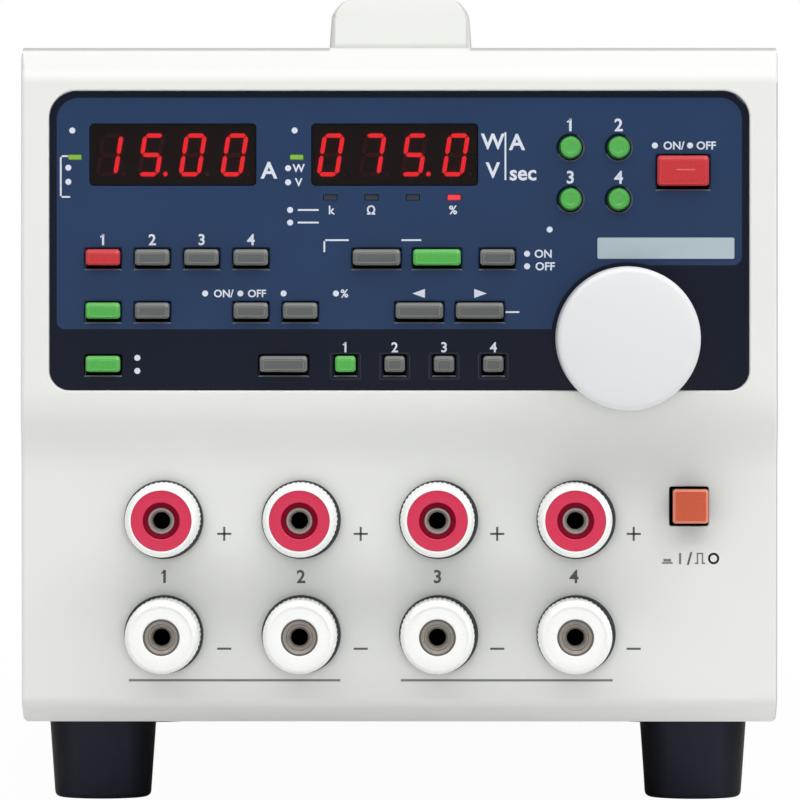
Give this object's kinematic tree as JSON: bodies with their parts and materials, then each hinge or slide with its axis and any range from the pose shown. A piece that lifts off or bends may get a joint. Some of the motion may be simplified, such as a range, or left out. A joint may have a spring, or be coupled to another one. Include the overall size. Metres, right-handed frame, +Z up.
{
  "type": "electronic load",
  "caption": "Narrow, deep bench instrument on tapered feet: sunken control panel with displays, keys and a knob over two rows of binding posts, strap handle on top, fan at the rear.",
  "frame": {"origin": "on the floor, below the centre of the bounding box", "axes": "+Z up, -Y out of the front panel, +X to the right as seen from the front"},
  "size_m": [0.15, 0.379, 0.1625],
  "materials": {
    "bezel_plastic": "fine matt moulded texture",
    "overlay_film": "satin printed film",
    "smoked_window": "polished dark red acrylic",
    "module_plastic": "matt",
    "lamp_epoxy": "clear",
    "circuit_board": "solder mask",
    "component_plastic": "matt moulded",
    "zinc_steel": "zinc plated sheet",
    "cover_paint": "light grey powder coat",
    "foot_plastic": "glossy moulded",
    "handle_plastic": "fine matt moulded",
    "strap_rubber": "matt",
    "nickel_brass": "nickel plated",
    "aluminium": "extruded, natural",
    "lamination_steel": "varnished",
    "knob_plastic": "fine matt moulded",
    "post_plastic": "satin moulded, knurled",
    "key_grey": "satin translucent",
    "key_green": "satin translucent, lit",
    "key_red": "satin translucent, lit",
    "button_orange": "satin moulded"
  },
  "bodies": {
    "case": {"front_panel": "bezel_plastic", "control_overlay": "overlay_film", "display_windows": "smoked_window", "display_modules": "module_plastic", "indicator_lamps": "lamp_epoxy", "control_board": "circuit_board", "key_switches": "component_plastic", "encoder": "zinc_steel", "power_switch": "component_plastic", "post_bushes": "component_plastic", "post_studs": "nickel_brass", "base_chassis": "zinc_steel", "top_cover": "cover_paint", "rear_panel": "cover_paint", "feet": "foot_plastic", "handle_end_caps": "handle_plastic", "handle_strap": "strap_rubber", "fasteners": "zinc_steel", "heat_sink": "aluminium", "load_transistors": "component_plastic", "fan_frame": "component_plastic", "transformer": "lamination_steel", "main_board": "circuit_board", "mains_inlet": "component_plastic", "earth_stud": "nickel_brass"},
    "fan_rotor": {"fan_rotor": "component_plastic"},
    "setting_knob": {"setting_knob": "knob_plastic"},
    "power_button": {"power_button": "button_orange"},
    "key_display_1": {"key_display_1": "key_red"},
    "key_display_2": {"key_display_2": "key_grey"},
    "key_display_3": {"key_display_3": "key_grey"},
    "key_display_4": {"key_display_4": "key_grey"},
    "key_limit": {"key_limit": "key_grey"},
    "key_value": {"key_value": "key_green"},
    "key_delay": {"key_delay": "key_grey"},
    "key_status": {"key_status": "key_green"},
    "key_setup": {"key_setup": "key_grey"},
    "key_tracking": {"key_tracking": "key_grey"},
    "key_tracking_mode": {"key_tracking_mode": "key_grey"},
    "key_digit_left": {"key_digit_left": "key_grey"},
    "key_digit_right": {"key_digit_right": "key_grey"},
    "key_escape": {"key_escape": "key_green"},
    "key_memory": {"key_memory": "key_grey"},
    "key_memory_1": {"key_memory_1": "key_green"},
    "key_memory_2": {"key_memory_2": "key_grey"},
    "key_memory_3": {"key_memory_3": "key_grey"},
    "key_memory_4": {"key_memory_4": "key_grey"},
    "key_main_input": {"key_main_input": "key_red"},
    "key_channel_1": {"key_channel_1": "key_green"},
    "key_channel_2": {"key_channel_2": "key_green"},
    "key_channel_3": {"key_channel_3": "key_green"},
    "key_channel_4": {"key_channel_4": "key_green"},
    "post_cap_1_positive": {"post_cap_1_positive": "post_plastic"},
    "post_cap_1_negative": {"post_cap_1_negative": "post_plastic"},
    "post_cap_2_positive": {"post_cap_2_positive": "post_plastic"},
    "post_cap_2_negative": {"post_cap_2_negative": "post_plastic"},
    "post_cap_3_positive": {"post_cap_3_positive": "post_plastic"},
    "post_cap_3_negative": {"post_cap_3_negative": "post_plastic"},
    "post_cap_4_positive": {"post_cap_4_positive": "post_plastic"},
    "post_cap_4_negative": {"post_cap_4_negative": "post_plastic"}
  },
  "joints": [
    {"name": "key_display_1_press", "type": "slide", "parent": "case", "child": "key_display_1", "axis": [0, 1, 0], "range_m": [0, 0.0005], "stiffness_N_per_m": 200},
    {"name": "key_display_2_press", "type": "slide", "parent": "case", "child": "key_display_2", "axis": [0, 1, 0], "range_m": [0, 0.0005], "stiffness_N_per_m": 200},
    {"name": "key_display_3_press", "type": "slide", "parent": "case", "child": "key_display_3", "axis": [0, 1, 0], "range_m": [0, 0.0005], "stiffness_N_per_m": 200},
    {"name": "key_display_4_press", "type": "slide", "parent": "case", "child": "key_display_4", "axis": [0, 1, 0], "range_m": [0, 0.0005], "stiffness_N_per_m": 200},
    {"name": "key_limit_press", "type": "slide", "parent": "case", "child": "key_limit", "axis": [0, 1, 0], "range_m": [0, 0.0005], "stiffness_N_per_m": 200},
    {"name": "key_value_press", "type": "slide", "parent": "case", "child": "key_value", "axis": [0, 1, 0], "range_m": [0, 0.0005], "stiffness_N_per_m": 200},
    {"name": "key_delay_press", "type": "slide", "parent": "case", "child": "key_delay", "axis": [0, 1, 0], "range_m": [0, 0.0005], "stiffness_N_per_m": 200},
    {"name": "key_status_press", "type": "slide", "parent": "case", "child": "key_status", "axis": [0, 1, 0], "range_m": [0, 0.0005], "stiffness_N_per_m": 200},
    {"name": "key_setup_press", "type": "slide", "parent": "case", "child": "key_setup", "axis": [0, 1, 0], "range_m": [0, 0.0005], "stiffness_N_per_m": 200},
    {"name": "key_tracking_press", "type": "slide", "parent": "case", "child": "key_tracking", "axis": [0, 1, 0], "range_m": [0, 0.0005], "stiffness_N_per_m": 200},
    {"name": "key_tracking_mode_press", "type": "slide", "parent": "case", "child": "key_tracking_mode", "axis": [0, 1, 0], "range_m": [0, 0.0005], "stiffness_N_per_m": 200},
    {"name": "key_digit_left_press", "type": "slide", "parent": "case", "child": "key_digit_left", "axis": [0, 1, 0], "range_m": [0, 0.0005], "stiffness_N_per_m": 200},
    {"name": "key_digit_right_press", "type": "slide", "parent": "case", "child": "key_digit_right", "axis": [0, 1, 0], "range_m": [0, 0.0005], "stiffness_N_per_m": 200},
    {"name": "key_escape_press", "type": "slide", "parent": "case", "child": "key_escape", "axis": [0, 1, 0], "range_m": [0, 0.0005], "stiffness_N_per_m": 200},
    {"name": "key_memory_press", "type": "slide", "parent": "case", "child": "key_memory", "axis": [0, 1, 0], "range_m": [0, 0.0005], "stiffness_N_per_m": 200},
    {"name": "key_memory_1_press", "type": "slide", "parent": "case", "child": "key_memory_1", "axis": [0, 1, 0], "range_m": [0, 0.0005], "stiffness_N_per_m": 200},
    {"name": "key_memory_2_press", "type": "slide", "parent": "case", "child": "key_memory_2", "axis": [0, 1, 0], "range_m": [0, 0.0005], "stiffness_N_per_m": 200},
    {"name": "key_memory_3_press", "type": "slide", "parent": "case", "child": "key_memory_3", "axis": [0, 1, 0], "range_m": [0, 0.0005], "stiffness_N_per_m": 200},
    {"name": "key_memory_4_press", "type": "slide", "parent": "case", "child": "key_memory_4", "axis": [0, 1, 0], "range_m": [0, 0.0005], "stiffness_N_per_m": 200},
    {"name": "key_main_input_press", "type": "slide", "parent": "case", "child": "key_main_input", "axis": [0, 1, 0], "range_m": [0, 0.0005], "stiffness_N_per_m": 200},
    {"name": "key_channel_1_press", "type": "slide", "parent": "case", "child": "key_channel_1", "axis": [0, 1, 0], "range_m": [0, 0.0005], "stiffness_N_per_m": 200},
    {"name": "key_channel_2_press", "type": "slide", "parent": "case", "child": "key_channel_2", "axis": [0, 1, 0], "range_m": [0, 0.0005], "stiffness_N_per_m": 200},
    {"name": "key_channel_3_press", "type": "slide", "parent": "case", "child": "key_channel_3", "axis": [0, 1, 0], "range_m": [0, 0.0005], "stiffness_N_per_m": 200},
    {"name": "key_channel_4_press", "type": "slide", "parent": "case", "child": "key_channel_4", "axis": [0, 1, 0], "range_m": [0, 0.0005], "stiffness_N_per_m": 200},
    {"name": "power_button_push", "type": "slide", "parent": "case", "child": "power_button", "axis": [0, 1, 0], "range_m": [-0.0025, 0.0008]},
    {"name": "setting_knob_turn", "type": "hinge", "parent": "case", "child": "setting_knob", "pos_m": [0.0453, -0.1725, 0.0934], "axis": [0, 1, 0], "continuous": true},
    {"name": "fan_rotor_spin", "type": "hinge", "parent": "case", "child": "fan_rotor", "pos_m": [-0.028, 0.1635, 0.0601], "axis": [0, 1, 0], "continuous": true},
    {"name": "post_cap_1_positive_unscrew", "type": "hinge", "parent": "case", "child": "post_cap_1_positive", "pos_m": [-0.0468, -0.1725, 0.0575], "axis": [0, -1, 0], "range_deg": [0, 1440]},
    {"name": "post_cap_1_negative_unscrew", "type": "hinge", "parent": "case", "child": "post_cap_1_negative", "pos_m": [-0.0468, -0.1725, 0.0345], "axis": [0, -1, 0], "range_deg": [0, 1440]},
    {"name": "post_cap_2_positive_unscrew", "type": "hinge", "parent": "case", "child": "post_cap_2_positive", "pos_m": [-0.0196, -0.1725, 0.0575], "axis": [0, -1, 0], "range_deg": [0, 1440]},
    {"name": "post_cap_2_negative_unscrew", "type": "hinge", "parent": "case", "child": "post_cap_2_negative", "pos_m": [-0.0196, -0.1725, 0.0345], "axis": [0, -1, 0], "range_deg": [0, 1440]},
    {"name": "post_cap_3_positive_unscrew", "type": "hinge", "parent": "case", "child": "post_cap_3_positive", "pos_m": [0.0076, -0.1725, 0.0575], "axis": [0, -1, 0], "range_deg": [0, 1440]},
    {"name": "post_cap_3_negative_unscrew", "type": "hinge", "parent": "case", "child": "post_cap_3_negative", "pos_m": [0.0076, -0.1725, 0.0345], "axis": [0, -1, 0], "range_deg": [0, 1440]},
    {"name": "post_cap_4_positive_unscrew", "type": "hinge", "parent": "case", "child": "post_cap_4_positive", "pos_m": [0.0348, -0.1725, 0.0575], "axis": [0, -1, 0], "range_deg": [0, 1440]},
    {"name": "post_cap_4_negative_unscrew", "type": "hinge", "parent": "case", "child": "post_cap_4_negative", "pos_m": [0.0348, -0.1725, 0.0345], "axis": [0, -1, 0], "range_deg": [0, 1440]}
  ]
}
